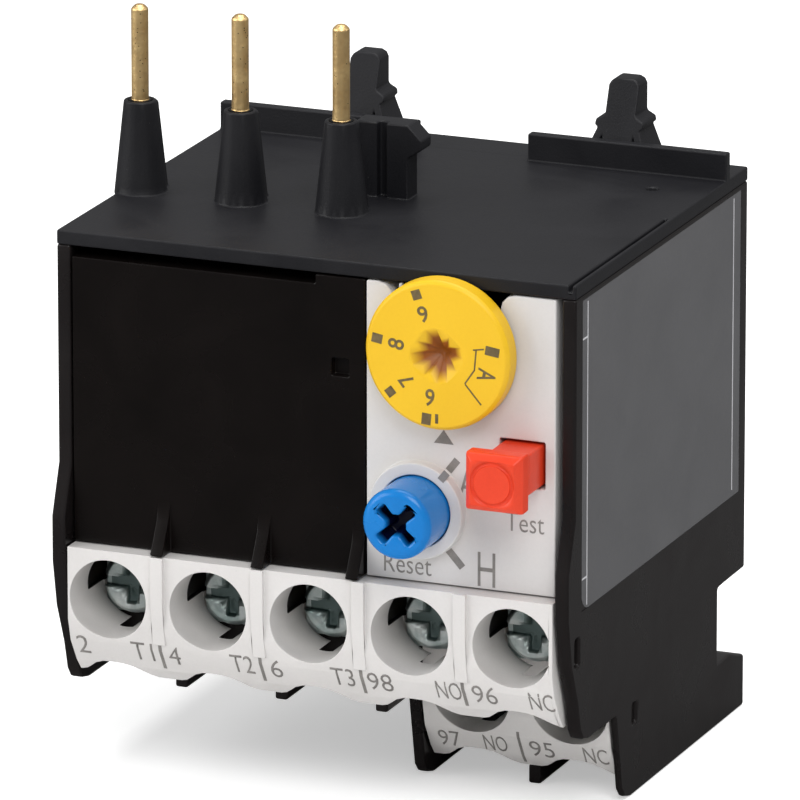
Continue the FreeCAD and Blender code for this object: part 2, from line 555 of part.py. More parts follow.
def bimetal_strip(pole):
    body = new_body(f"bimetal_strip_{pole + 3}", f"{pole} * terminalPitch", "stripForward")
    half = "stripWidth / 2"
    pad(body, "side", "-stripThick / 2", "stripThick",
        [(f"-{half}", "armRise - weldGap"), (half, "armRise - weldGap"),
         (half, "stripFoot + 6"), (f"{half} - 1", "stripFoot + 4"), (f"{half} - 1", "stripFoot"),
         (f"-{half} + 1", "stripFoot"), (f"-{half} + 1", "stripFoot + 4"),
         (f"-{half}", "stripFoot + 6")])


def heater_coil(pole):
    # A square wire wound round the bimetal strip in rectangular turns.
    body = new_body(f"heater_coil_{pole + 3}", f"{pole} * terminalPitch", "stripForward")
    wide = "heaterWidth / 2"
    deep = "heaterDeep / 2"
    turns = sizes["heaterTurns"]
    for turn in range(turns):
        level = f"heaterFoot + {turn} * heaterPitch"
        # The turn is open at one corner, where a riser takes the wire to the next turn.
        pad(body, "top", level, "heaterWire",
            [(f"-{wide}", deep), (f"-{wide}", f"-{deep}"), (wide, f"-{deep}"), (wide, deep),
             (f"-{wide} + 2 * heaterWire", deep),
             (f"-{wide} + 2 * heaterWire", f"{deep} - heaterWire"),
             (f"{wide} - heaterWire", f"{deep} - heaterWire"),
             (f"{wide} - heaterWire", f"-{deep} + heaterWire"),
             (f"-{wide} + heaterWire", f"-{deep} + heaterWire"),
             (f"-{wide} + heaterWire", deep)])
        if turn + 1 < turns:
            pad(body, "front", f"{deep} - heaterWire", "heaterWire",
                [(f"-{wide} + 2 * heaterWire", level),
                 (f"-{wide} + 3 * heaterWire", level),
                 (f"-{wide} + 3 * heaterWire", f"{level} + heaterWire"),
                 (f"-{wide} + heaterWire", f"{level} + heaterPitch + heaterWire"),
                 (f"-{wide}", f"{level} + heaterPitch + heaterWire"),
                 (f"-{wide}", f"{level} + heaterPitch")])
    pad(body, "top", f"stripTop + 1.2", "heaterFoot - stripTop - 1.2 + heaterWire",
        rectangle(f"-{wide}", f"-{wide} + heaterWire", f"{deep} - heaterWire", deep))
    last = "heaterFoot + (heaterTurns - 1) * heaterPitch"
    pad(body, "top", last, f"armRise - ({last})",
        rectangle(f"{wide} - heaterWire", wide, f"{deep} - heaterWire", deep))


# ---- slides and trip mechanism --------------------------------------------------------------

def slide(label, back, finger_side):
    # A bar across the poles with one finger at each bimetal strip.
    body = new_body(label)
    front = f"{back} + slideThick"
    near = front if finger_side > 0 else back
    far = "stripForward + stripWidth / 2 - 0.3" if finger_side > 0 else \
        "stripForward - stripWidth / 2 + 0.3"
    fingers = []
    for pole in reversed(poles):
        gap = f"{finger_side} * (stripThick / 2 + fingerGap)"
        close = f"{pole} * terminalPitch + {gap}"
        outer = f"{close} + {finger_side} * fingerThick"
        low, high = (close, outer) if finger_side > 0 else (outer, close)
        fingers += [(high, near), (high, far), (low, far), (low, near)]
    other = back if finger_side > 0 else front
    outline = [("slideStart", other), ("slideEnd", other), ("slideEnd", near), *fingers,
               ("slideStart", near)]
    pad(body, "top", "slideRise", "slideHeight", outline)


def trip_lever():
    body = new_body("trip_lever", "pivotAcross", "0", "pivotRise")
    left = "slideEnd + slideGap - pivotAcross"
    right = "carrierLeft + carrierWidth + leverGap - pivotAcross"
    foot = "slideRise - pivotRise"
    pad(body, "front", "leverBack", "leverThick", ("0", "0", "hubDiameter / 2"))
    pad(body, "front", "leverBack", "leverThick",
        [(left, foot), (f"{left} + 1.6", foot), (f"{left} + 2", f"{foot} + 2.6"),
         ("1.6", "-1"), ("hubDiameter / 2 - 0.1", "0.5"),
         (f"{right} + 1.4", "carrierRise - pivotRise - 1"),
         (f"{right} + 1.4", "carrierRise - pivotRise + 2"),
         (right, "carrierRise - pivotRise + 2"), (right, "carrierRise - pivotRise - 1.4"),
         ("-1.2", "1.4"), ("-1.6", "-1"), (left, f"{foot} + 3")])
    pocket(body, "front", "leverBack + leverThick + 1", "leverThick + 2",
           ("0", "0", "pivotDiameter / 2 + pivotClearance"))


def adjusting_lever():
    body = new_body("adjusting_lever", "pivotAcross", "0", "pivotRise")
    left = "dialAcross + camDiameter / 2 - camOffset + camGap - pivotAcross"
    top = "dialRise - pivotRise + 1.4"
    pad(body, "front", "adjusterBack", "leverThick", ("0", "0", "hubDiameter / 2"))
    pad(body, "front", "adjusterBack", "leverThick",
        [("-1", "1"), ("0.2", "-5.4"), ("1.2", "-5.4"), ("1.2", "0.4"), ("1.6", "1"),
         (f"{left} + 1.5", f"{top} - 12"), (f"{left} + 1.5", top), (left, top),
         (left, f"{top} - 12")])
    pocket(body, "front", "adjusterBack + leverThick + 1", "leverThick + 2",
           ("0", "0", "pivotDiameter / 2 + pivotClearance"))


def compensation_bimetal():
    body = new_body("compensation_bimetal", "pivotAcross", "0", "pivotRise")
    pad(body, "side", "1.2", "stripThick * 0.75",
        [("adjusterBack - 0.6", "-3"), ("adjusterBack + leverThick + 0.6", "-3"),
         ("adjusterBack + leverThick + 0.6", "slideRise - pivotRise + 0.6"),
         ("adjusterBack - 0.6", "slideRise - pivotRise + 0.6")])


def pivot_pin():
    body = new_body("pivot_pin", "pivotAcross", "0", "pivotRise")
    turned(body, "top", "Y_Axis",
           [("0", "pinBack"), ("pivotDiameter / 2 + 0.5", "pinBack"),
            ("pivotDiameter / 2 + 0.5", "pinBack + 0.8"), ("pivotDiameter / 2", "pinBack + 0.8"),
            ("pivotDiameter / 2", "frameBack + frameThick"), ("0", "frameBack + frameThick")])


def mechanism_frame():
    # The inner plate that carries the pivot pin, the dial shaft and the two button springs.
    body = new_body("mechanism_frame")
    pad(body, "front", "frameBack", "frameThick",
        rectangle("polesRight + partition + seam", fitted_half, "frameFoot", "frameTop"))
    pocket(body, "front", "frameBack + frameThick + 1", "frameThick + 2",
           ("dialAcross", "dialRise", "dialShaft / 2 + shaftClearance"),
           ("pivotAcross", "pivotRise", "pivotDiameter / 2 + fitGap"))
    pad(body, "front", "frameBack + frameThick - 0.1", "sleeveBack + sleeveFloor - frameBack "
        "- frameThick + 0.3", ("resetAcross", "resetRise", "studDiameter / 2"))


def contact_carrier():
    body = new_body("contact_carrier")
    pad(body, "front", "carrierBack", "leverBack + leverThick - carrierBack",
        rectangle("carrierLeft", "carrierLeft + carrierWidth", "carrierRise",
                  "carrierRise + carrierHeight"))


def auxiliary_contacts():
    low = "carrierRise + 0.3"
    left = "carrierLeft"
    right = "carrierLeft + carrierWidth"
    for label, start in (("no_moving_contact", f"{left} - contactThick"),
                         ("nc_moving_contact", right)):
        body = new_body(label)
        pad(body, "side", start, "contactThick",
            rectangle("carrierBack + 0.4", "carrierBack + 0.4 + contactDeep", low,
                      f"{low} + contactHeight"))
    fixed = (("no_fixed_contact", f"{left} - 2 * contactThick - contactTravel - contactGap"),
             ("nc_fixed_contact", f"{right} + contactThick + contactGap"))
    for label, start in fixed:
        body = new_body(label)
        pad(body, "side", start, "contactThick",
            rectangle("carrierBack + 0.4", "carrierBack + 0.4 + contactDeep", "carrierShelf",
                      f"{low} + contactHeight"))


# ---- controls -------------------------------------------------------------------------------

def setting_dial():
    body = new_body("setting_dial", "dialAcross", "0", "dialRise")
    back = "(caseDepth + dialGap)"
    face = f"({back} + dialThick)"
    turned(body, "top", "Y_Axis",
           [("0", "adjusterBack - 1"), ("dialShaft / 2", "adjusterBack - 1"),
            ("dialShaft / 2", f"{back} - dialNeckDeep"), ("dialNeck / 2", f"{back} - dialNeckDeep"),
            ("dialNeck / 2", back), ("dialDiameter / 2", back),
            ("dialDiameter / 2", f"{face} - dialChamfer"),
            ("dialDiameter / 2 - dialChamfer", face), ("0", face)])
    arm = "dialArm / 2"
    reach = "dialRecess / 2"
    pocket(body, "front", face, "dialRecessDeep",
           rectangle(f"-{reach}", reach, f"-{arm}", arm))
    pocket(body, "front", face, "dialRecessDeep",
           rectangle(f"-{arm}", arm, f"-{reach}", reach))


def setting_cam():
    body = new_body("setting_cam", "dialAcross", "0", "dialRise")
    pad(body, "front", "adjusterBack - 0.4", "camThick",
        ("-camOffset * 0.985", "camOffset * 0.174", "camDiameter / 2"))
    pocket(body, "front", "adjusterBack + camThick + 1", "camThick + 3",
           ("0", "0", "dialShaft / 2 + fitGap"))


def reset_button():
    body = new_body("reset_button", "resetAcross", "0", "resetRise")
    radius = "resetKnob / 2"
    face = "(caseDepth + resetProud)"
    turned(body, "top", "Y_Axis",
           [("0", "knobBack"), (radius, "knobBack"), (radius, f"{face} - knobChamfer"),
            (f"{radius} - knobChamfer", face), ("0", face)])
    slot = "knobSlot / 2"
    pocket(body, "front", face, "knobSlotDeep",
           rectangle(f"-{radius} * 0.62", f"{radius} * 0.62", f"-{slot}", slot))
    pocket(body, "front", face, "knobSlotDeep",
           rectangle(f"-{slot}", slot, f"-{radius} * 0.62", f"{radius} * 0.62"))


def reset_sleeve():
    body = new_body("reset_sleeve", "resetAcross", "0", "resetRise")
    bore = "(resetKnob / 2 + knobClearance)"
    stud = "studDiameter / 2 + shaftClearance"
    turned(body, "top", "Y_Axis",
           [(stud, "sleeveBack"), (f"{bore} + sleeveWall", "sleeveBack"),
            (f"{bore} + sleeveWall", f"{plate_back} - seam"), (bore, f"{plate_back} - seam"),
            (bore, "sleeveBack + sleeveFloor"), (stud, "sleeveBack + sleeveFloor")])


def test_button():
    body = new_body("test_button")
    face = "(caseDepth + testProud)"
    across = "testWidth / 2"
    rise = "testHeight / 2"
    pad(body, "front", f"{face} - testThick", "testThick",
        rectangle(f"testAcross - {across}", f"testAcross + {across}",
                  f"testRise - {rise}", f"testRise + {rise}"))
    # The four edges of the face are cut off at a slant.
    start = f"{face} - testChamfer"
    beyond = f"{face} + 1"
    for side in (-1, 1):
        edge = f"testAcross + {side} * {across}"
        pocket(body, "top", f"testRise + {rise} + 1", f"2 * {rise} + 2",
               [(edge, start), (f"{edge} - {side} * testChamfer", face),
                (f"{edge} - {side} * testChamfer", beyond), (f"{edge} + {side}", beyond),
                (f"{edge} + {side}", start)])
        edge = f"testRise + {side} * {rise}"
        pocket(body, "side", f"testAcross + {across} + 1", f"2 * {across} + 2",
               [(start, edge), (face, f"{edge} - {side} * testChamfer"),
                (beyond, f"{edge} - {side} * testChamfer"), (beyond, f"{edge} + {side}"),
                (start, f"{edge} + {side}")])
    half = "testShank / 2"
    pad(body, "front", "testShankBack", f"{face} - testThick - testShankBack + 0.1",
        rectangle(f"shankAcross - {half}", f"shankAcross + {half}",
                  f"shankRise - {half}", f"shankRise + {half}"))


def coil_spring(label, across, rise, back, front, width):
    # A square wire along a helix whose axis runs forward.
    spine = doc.addObject("Part::Helix", "Helix")
    wire = "(springWire / 2)"
    spine.setExpression("Radius", bound(f"({width}) / 2"))
    spine.setExpression("Height", bound(f"{front} - ({back}) - 2 * {wire}"))
    spine.setExpression("Pitch", bound(f"({front} - ({back}) - 2 * {wire}) / springTurns"))
    section = doc.addObject("Part::RegularPolygon", "Section")
    section.Polygon = 4
    section.setExpression("Circumradius", bound(wire))
    lying = FreeCAD.Rotation(FreeCAD.Vector(1, 0, 0), 90)
    spine.Placement = FreeCAD.Placement(FreeCAD.Vector(), lying)
    section.Placement = FreeCAD.Placement(FreeCAD.Vector(), FreeCAD.Rotation())
    section.setExpression("Placement.Base.x", bound(f"({width}) / 2"))
    spring = doc.addObject("Part::Sweep", "Spring")
    spring.Sections = [section]
    spring.Spine = (spine, [])
    spring.Solid = True
    spring.Frenet = True
    spring.Label = label
    spring.setExpression("Placement.Base.x", bound(across))
    spring.setExpression("Placement.Base.y", bound(f"-(({back}) + {wire})"))
    spring.setExpression("Placement.Base.z", bound(f"{rise} - {origin_height}"))
    nodes.append(spring)


base_housing()
top_cover()
front_cover()
control_panel()
front_terminal_strip()
rear_terminal_strip()
mechanism_frame()
for pole in poles:
    contact_pin(pole)
    bimetal_strip(pole)
    heater_coil(pole)
front_names = ["2t1", "4t2", "6t3", "98", "96"]
for name, step in zip(front_names, front_pitches):
    terminal(name, f"{step} * terminalPitch", "terminalRise", strip_face, "stripTop + 1.2")
for name, side in (("97", -1), ("95", 1)):
    terminal(name, f"lowerMiddle + {side} * lowerPitch / 2", "lowerRise", "lowerFace",
             "lowerRise")
slide("trip_slide", "slideBack", 1)
slide("differential_slide", "differentialBack", -1)
trip_lever()
adjusting_lever()
compensation_bimetal()
pivot_pin()
contact_carrier()
auxiliary_contacts()
setting_dial()
setting_cam()
reset_button()
reset_sleeve()
test_button()
coil_spring("reset_spring", "resetAcross", "resetRise", "sleeveBack + sleeveFloor", "knobBack",
            "springWidth")
coil_spring("test_spring", "shankAcross", "shankRise", "frameBack + frameThick",
            "testShankBack", "testSpringWidth")

doc.recompute()
for item in doc.Objects:
    if "Invalid" in item.State or "Error" in item.State:
        raise RuntimeError(f"{item.Label} did not recompute: {item.State}")
for node in nodes:
    if node.Shape.isNull() or not node.Shape.isValid():
        raise RuntimeError(f"{node.Label} has no valid shape")

os.makedirs("parts", exist_ok=True)
for node in nodes:
    node.Shape.exportStep(f"parts/{node.Label}.step")
print(len(nodes), "nodes written")
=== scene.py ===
import json
import math

import bpy
from mathutils import Matrix, Vector


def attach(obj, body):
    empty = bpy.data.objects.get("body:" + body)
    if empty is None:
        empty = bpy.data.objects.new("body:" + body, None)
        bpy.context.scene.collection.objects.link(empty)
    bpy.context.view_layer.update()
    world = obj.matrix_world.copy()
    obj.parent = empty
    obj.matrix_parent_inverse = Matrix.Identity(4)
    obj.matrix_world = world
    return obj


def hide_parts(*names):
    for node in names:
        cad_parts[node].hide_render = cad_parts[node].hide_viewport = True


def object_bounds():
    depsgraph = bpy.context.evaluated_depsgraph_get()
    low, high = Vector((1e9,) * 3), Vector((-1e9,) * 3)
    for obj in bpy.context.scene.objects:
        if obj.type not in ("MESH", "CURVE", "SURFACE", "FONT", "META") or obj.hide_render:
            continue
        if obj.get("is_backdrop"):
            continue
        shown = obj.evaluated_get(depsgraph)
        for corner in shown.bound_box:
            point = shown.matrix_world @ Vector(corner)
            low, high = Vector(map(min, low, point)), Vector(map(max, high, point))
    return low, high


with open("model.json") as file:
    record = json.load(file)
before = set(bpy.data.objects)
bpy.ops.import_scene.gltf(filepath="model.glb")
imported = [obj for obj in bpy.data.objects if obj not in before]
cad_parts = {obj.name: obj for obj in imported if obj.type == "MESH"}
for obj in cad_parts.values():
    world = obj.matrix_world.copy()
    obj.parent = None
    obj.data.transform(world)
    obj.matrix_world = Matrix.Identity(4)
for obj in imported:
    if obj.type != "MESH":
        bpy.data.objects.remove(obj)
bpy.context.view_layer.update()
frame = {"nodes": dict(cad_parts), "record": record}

record = frame["record"]
cadNodes = frame["nodes"]
mm = 0.001
originHeight = 29.25  # height of the origin above the underside, in mm
bodyOf = {node: body for body, members in record["behaviour"]["bodies"].items()
          for node in members}
slotOf = {part["node"]: part["material_slot"] for part in record["subparts"]}


def spot(across, forward, up):
    # millimetres right of the middle, in front of the back face, above the underside
    return Vector((across * mm, -forward * mm, (up - originHeight) * mm))


def deselect():
    if bpy.context.object and bpy.context.object.mode != "OBJECT":
        bpy.ops.object.mode_set(mode="OBJECT")
    bpy.ops.object.select_all(action="DESELECT")


def pick(piece):
    deselect()
    piece.select_set(True)
    bpy.context.view_layer.objects.active = piece


def applyAll(piece):
    pick(piece)
    for modifier in list(piece.modifiers):
        bpy.ops.object.modifier_apply(modifier=modifier.name)


def turnOutwards():
    # the faces of the active piece point outwards
    bpy.ops.object.mode_set(mode="EDIT")
    bpy.ops.mesh.select_all(action="SELECT")
    bpy.ops.mesh.normals_make_consistent(inside=False)
    bpy.ops.object.mode_set(mode="OBJECT")


def thickened(depth):
    # the flat active piece becomes a closed solid
    bpy.ops.object.mode_set(mode="EDIT")
    bpy.ops.mesh.select_all(action="SELECT")
    bpy.ops.mesh.extrude_region_move(TRANSFORM_OT_translate={"value": (0, 0, depth)})
    turnOutwards()


def solidBetween(points, name):
    # a closed solid from the points of one outline and, after them, those of the other
    count = len(points) // 2
    faces = [list(range(count)), list(range(2 * count - 1, count - 1, -1))]
    faces += [[i, i + count, (i + 1) % count + count, (i + 1) % count] for i in range(count)]
    mesh = bpy.data.meshes.new(name)
    mesh.from_pydata(points, [], faces)
    piece = bpy.data.objects.new(name, mesh)
    bpy.context.scene.collection.objects.link(piece)
    pick(piece)
    turnOutwards()
    return piece


def block(middle, size):
    # an upright block, with its middle and its size across, forward and up in mm
    deselect()
    bpy.ops.mesh.primitive_cube_add(size=1, location=spot(*middle),
                                    scale=tuple(side * mm for side in size))
    bpy.ops.object.transform_apply(location=True, rotation=True, scale=True)
    return bpy.context.object


def joined(parts, name):
    deselect()
    for part in parts:
        part.select_set(True)
    bpy.context.view_layer.objects.active = parts[0]
    if len(parts) > 1:
        bpy.ops.object.join()
    piece = bpy.context.object
    piece.name = name
    piece.data.name = name
    return piece


def settled(piece, material, node):
    # the finish, the body and the slot of a finished piece
    piece.data.materials.clear()
    piece.data.materials.append(material)
    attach(piece, bodyOf[node])
    return piece


def newGroup(name, inputNames, outputNames):
    # an empty node group whose sockets are all plain numbers
    group = bpy.data.node_groups.new(name, "ShaderNodeTree")
    for side, socketNames in (("INPUT", inputNames), ("OUTPUT", outputNames)):
        for socket in socketNames:
            group.interface.new_socket(name=socket, in_out=side,
                                       socket_type="NodeSocketFloat")
    return group, group.nodes.new("NodeGroupInput"), group.nodes.new("NodeGroupOutput")


def mathNode(nodes, operation):
    node = nodes.new("ShaderNodeMath")
    node.operation = operation
    return node


# What every moulded or turned surface shares: fine grain, faint smudges and stray specks.
surfaceSettings = {"grainDetail": 4, "smudgeDetail": 5, "smudgeBend": 0.6, "grainShare": 0.35}


def surfaceGroup():
    group, inputs, outputs = newGroup(
        "surfaceDetail", ("Grain Scale", "Smudge Scale", "Speck Scale", "Speck Size"),
        ("Tint", "Gloss", "Height", "Speck"))
    place = group.nodes.new("ShaderNodeTexCoord")
    grain = group.nodes.new("ShaderNodeTexNoise")
    grain.inputs["Detail"].default_value = surfaceSettings["grainDetail"]
    smudge = group.nodes.new("ShaderNodeTexNoise")
    smudge.inputs["Detail"].default_value = surfaceSettings["smudgeDetail"]
    smudge.inputs["Distortion"].default_value = surfaceSettings["smudgeBend"]
    specks = group.nodes.new("ShaderNodeTexVoronoi")
    speckMask = mathNode(group.nodes, "LESS_THAN")
    blend = mathNode(group.nodes, "MULTIPLY_ADD")
    blend.inputs[1].default_value = surfaceSettings["grainShare"]
    link = group.links.new
    for texture, socket in ((grain, "Grain Scale"), (smudge, "Smudge Scale"),
                            (specks, "Speck Scale")):
        link(place.outputs["Object"], texture.inputs["Vector"])
        link(inputs.outputs[socket], texture.inputs["Scale"])
    link(specks.outputs["Distance"], speckMask.inputs[0])
    link(inputs.outputs["Speck Size"], speckMask.inputs[1])
    link(grain.outputs["Fac"], blend.inputs[0])
    link(smudge.outputs["Fac"], blend.inputs[2])
    link(blend.outputs[0], outputs.inputs["Tint"])
    link(smudge.outputs["Fac"], outputs.inputs["Gloss"])
    link(grain.outputs["Fac"], outputs.inputs["Height"])
    link(speckMask.outputs[0], outputs.inputs["Speck"])
    return group


surfaceDetail = surfaceGroup()
# Each finish has the two ends of its tint, its range of roughness, the scales of its
# textures for each metre, and the height of its grain in mm.
finishes = {
    "caseBlack": {"light": (0.0130, 0.0105, 0.0105), "dark": (0.0075, 0.0060, 0.0060),
                  "gloss": (0.24, 0.38), "specular": 0.24, "grain": 5200, "bump": 0.010},
    "coverCharcoal": {"light": (0.0150, 0.0150, 0.0175), "dark": (0.0085, 0.0085, 0.0105),
                      "gloss": (0.40, 0.54), "specular": 0.26, "grain": 5200, "bump": 0.018,
                      "specks": 0.022, "speckColour": (0.10, 0.10, 0.10)},
    "coverGloss": {"light": (0.0060, 0.0042, 0.0038), "dark": (0.0034, 0.0026, 0.0024),
                   "gloss": (0.20, 0.32), "specular": 0.16, "grain": 3600, "bump": 0.006},
    "panelWhite": {"light": (0.66, 0.645, 0.635), "dark": (0.60, 0.585, 0.575),
                   "gloss": (0.34, 0.46), "grain": 4200, "bump": 0.006},
    "stripGrey": {"light": (0.70, 0.68, 0.665), "dark": (0.63, 0.61, 0.595),
                  "gloss": (0.36, 0.48), "grain": 4200, "bump": 0.008, "specks": 0.015},
    "dialYellow": {"light": (0.82, 0.50, 0.012), "dark": (0.76, 0.45, 0.010),
                   "specular": 0.35, "gloss": (0.34, 0.46), "grain": 4000, "bump": 0.006},
    "knobBlue": {"light": (0.006, 0.205, 0.60), "dark": (0.005, 0.160, 0.49),
                 "specular": 0.35, "gloss": (0.18, 0.30), "grain": 3600, "bump": 0.006},
    "capRed": {"light": (0.80, 0.060, 0.020), "dark": (0.66, 0.040, 0.013),
               "specular": 0.30, "gloss": (0.28, 0.40), "grain": 3600, "bump": 0.008},
    "zincBlue": {"light": (0.95, 1.0, 0.99), "dark": (0.32, 0.43, 0.42), "metal": 1.0,
                 "gloss": (0.28, 0.50), "grain": 1500, "smudge": 520, "bump": 0.10},
    "pinGold": {"light": (1.0, 0.76, 0.38), "dark": (0.95, 0.62, 0.27), "metal": 1.0,
                "gloss": (0.34, 0.54), "grain": 2600, "smudge": 500, "bump": 0.035,
                "specks": 0.12, "speckScale": 2600, "speckColour": (0.12, 0.06, 0.025)},
    "brassInner": {"light": (0.72, 0.53, 0.27), "dark": (0.50, 0.34, 0.15), "metal": 1.0,
                   "gloss": (0.28, 0.50), "grain": 2600, "bump": 0.02},
    "steelInner": {"light": (0.50, 0.49, 0.47), "dark": (0.34, 0.33, 0.31), "metal": 1.0,
                   "gloss": (0.28, 0.48), "grain": 2600, "bump": 0.02},
    "innerPlastic": {"light": (0.030, 0.030, 0.031), "dark": (0.020, 0.020, 0.021),
                     "gloss": (0.42, 0.56), "grain": 4200, "bump": 0.01},
    "labelFoil": {"light": (0.110, 0.110, 0.115), "dark": (0.085, 0.085, 0.090),
                  "gloss": (0.30, 0.42), "grain": 2600, "bump": 0.004},
    "labelInk": {"light": (0.62, 0.62, 0.64), "dark": (0.50, 0.50, 0.52),
                 "gloss": (0.40, 0.50), "grain": 4000, "bump": 0.004},
    "greyInk": {"light": (0.270, 0.255, 0.240), "dark": (0.170, 0.160, 0.150),
                "gloss": (0.45, 0.60), "grain": 5200, "smudge": 900, "bump": 0.010},
    "dialInk": {"light": (0.200, 0.140, 0.050), "dark": (0.085, 0.060, 0.026),
                "gloss": (0.45, 0.60), "grain": 5200, "smudge": 1500, "bump": 0.010},
}


# What a finish has where it doesn't say otherwise.
plainLook = {"metal": 0.0, "specular": 0.5, "smudge": 130, "specks": 0.0, "speckScale": 900,
             "speckColour": (0.30, 0.30, 0.31)}
tintRange = (0.4, 0.95)
glossRange = (0.3, 0.7)


def maskGroup():
    # rises from 0 to 1 between two planes, inside a radius round an axis and above a height; it
    # places painted shade in recesses and wells, and the dark pin roots
    group, inputs, outputs = newGroup(
        "placeMask", ("Across", "Up", "Radius", "Start", "Full", "Lowest"), ("Mask",))
    place = group.nodes.new("ShaderNodeTexCoord")
    split = group.nodes.new("ShaderNodeSeparateXYZ")
    axis = group.nodes.new("ShaderNodeCombineXYZ")
    flat = group.nodes.new("ShaderNodeCombineXYZ")
    reach = group.nodes.new("ShaderNodeVectorMath")
    reach.operation = "DISTANCE"
    inside = mathNode(group.nodes, "LESS_THAN")
    depth = group.nodes.new("ShaderNodeMapRange")
    both = mathNode(group.nodes, "MULTIPLY")
    above = mathNode(group.nodes, "GREATER_THAN")
    total = mathNode(group.nodes, "MULTIPLY")
    link = group.links.new
    link(place.outputs["Object"], split.inputs["Vector"])
    link(split.outputs["Z"], above.inputs[0])
    link(inputs.outputs["Lowest"], above.inputs[1])
    link(split.outputs["X"], flat.inputs["X"])
    link(split.outputs["Z"], flat.inputs["Z"])
    link(inputs.outputs["Across"], axis.inputs["X"])
    link(inputs.outputs["Up"], axis.inputs["Z"])
    link(flat.outputs["Vector"], reach.inputs[0])
    link(axis.outputs["Vector"], reach.inputs[1])
    link(reach.outputs["Value"], inside.inputs[0])
    link(inputs.outputs["Radius"], inside.inputs[1])
    link(split.outputs["Y"], depth.inputs["Value"])
    link(inputs.outputs["Start"], depth.inputs["From Min"])
    link(inputs.outputs["Full"], depth.inputs["From Max"])
    link(inside.outputs[0], both.inputs[0])
    link(depth.outputs["Result"], both.inputs[1])
    link(both.outputs[0], total.inputs[0])
    link(above.outputs[0], total.inputs[1])
    link(total.outputs[0], outputs.inputs["Mask"])
    return group


placeMask = maskGroup()


farBelow = -99  # in mm, where a mask has no lower limit


def finish(name, deep=None):
    look = {**plainLook, **finishes[name]}
    material = bpy.data.materials.new(name)
    material.use_nodes = True
    nodes = material.node_tree.nodes
    link = material.node_tree.links.new
    shader = nodes["Principled BSDF"]
    shader.inputs["Metallic"].default_value = look["metal"]
    shader.inputs["Specular IOR Level"].default_value = look["specular"]
    detail = nodes.new("ShaderNodeGroup")
    detail.node_tree = surfaceDetail
    detail.inputs["Grain Scale"].default_value = look["grain"]
    detail.inputs["Smudge Scale"].default_value = look["smudge"]
    detail.inputs["Speck Scale"].default_value = look["speckScale"]
    detail.inputs["Speck Size"].default_value = look["specks"]
    tint = nodes.new("ShaderNodeMapRange")
    tint.inputs["From Min"].default_value = tintRange[0]
    tint.inputs["From Max"].default_value = tintRange[1]
    colour = nodes.new("ShaderNodeMix")
    colour.data_type = "RGBA"
    colour.inputs["A"].default_value = (*look["dark"], 1)
    colour.inputs["B"].default_value = (*look["light"], 1)
    speck = nodes.new("ShaderNodeMix")
    speck.data_type = "RGBA"
    speck.inputs["B"].default_value = (*look["speckColour"], 1)
    gloss = nodes.new("ShaderNodeMapRange")
    gloss.inputs["From Min"].default_value = glossRange[0]
    gloss.inputs["From Max"].default_value = glossRange[1]
    gloss.inputs["To Min"].default_value = look["gloss"][0]
    gloss.inputs["To Max"].default_value = look["gloss"][1]
    bump = nodes.new("ShaderNodeBump")
    bump.inputs["Strength"].default_value = 1.0
    bump.inputs["Distance"].default_value = look["bump"] * mm
    link(detail.outputs["Tint"], tint.inputs["Value"])
    link(tint.outputs["Result"], colour.inputs["Factor"])
    link(colour.outputs["Result"], speck.inputs["A"])
    link(detail.outputs["Speck"], speck.inputs["Factor"])
    link(detail.outputs["Gloss"], gloss.inputs["Value"])
    link(gloss.outputs["Result"], shader.inputs["Roughness"])
    link(detail.outputs["Height"], bump.inputs["Height"])
    link(bump.outputs["Normal"], shader.inputs["Normal"])
    last = speck
    if deep:
        # the tint gives way to the deep colour as the mask rises: painted shade in recesses and
        # wells, and the boots' dark colour on the pin roots
        mask = nodes.new("ShaderNodeGroup")
        mask.node_tree = placeMask
        centre = spot(*deep["centre"])
        mask.inputs["Across"].default_value = centre.x
        mask.inputs["Up"].default_value = centre.z
        mask.inputs["Radius"].default_value = deep["radius"] * mm
        mask.inputs["Start"].default_value = centre.y + deep["start"] * mm
        mask.inputs["Full"].default_value = centre.y + deep["full"] * mm
        mask.inputs["Lowest"].default_value = spot(0, 0, deep.get("lowest", farBelow)).z
        last = nodes.new("ShaderNodeMix")
        last.data_type = "RGBA"
        last.inputs["B"].default_value = (*deep["colour"], 1)
        link(mask.outputs["Mask"], last.inputs["Factor"])
        link(speck.outputs["Result"], last.inputs["A"])
    link(last.outputs["Result"], shader.inputs["Base Color"])
    return material


# A node taken over with its edges rounded: (width in mm, finish)
roundedNodes = {
    "base_housing": (0.22, "caseBlack"), "top_cover": (0.16, "coverCharcoal"),
    "front_cover": (0.12, "coverGloss"), "control_panel": (0.12, "panelWhite"),
    "front_terminal_strip": (0.05, "stripGrey"), "rear_terminal_strip": (0.10, "stripGrey"),
    "reset_sleeve": (0.08, "panelWhite"), "test_button": (0.16, "capRed"),
    "setting_dial": (0.10, "dialYellow"), "reset_button": (0.18, "knobBlue"),
}
for name in cadNodes:
    if name.startswith("terminal_screw_"):
        roundedNodes[name] = (0.14, "zincBlue")
    elif name.startswith("saddle_washer_"):
        roundedNodes[name] = (0.10, "zincBlue")
    elif name.startswith("contact_pin_"):
        roundedNodes[name] = (0.10, "pinGold")
# The middle of the front of the dial and of the knob: across, forward and up in mm
dialCentre = (11.4, 41.3, 40.1)
knobCentre = (9.1, 44.4, 26.6)
# painted shade deep in the terminal wells, a near-black colour
paintedWellShade = (0.012, 0.011, 0.011)
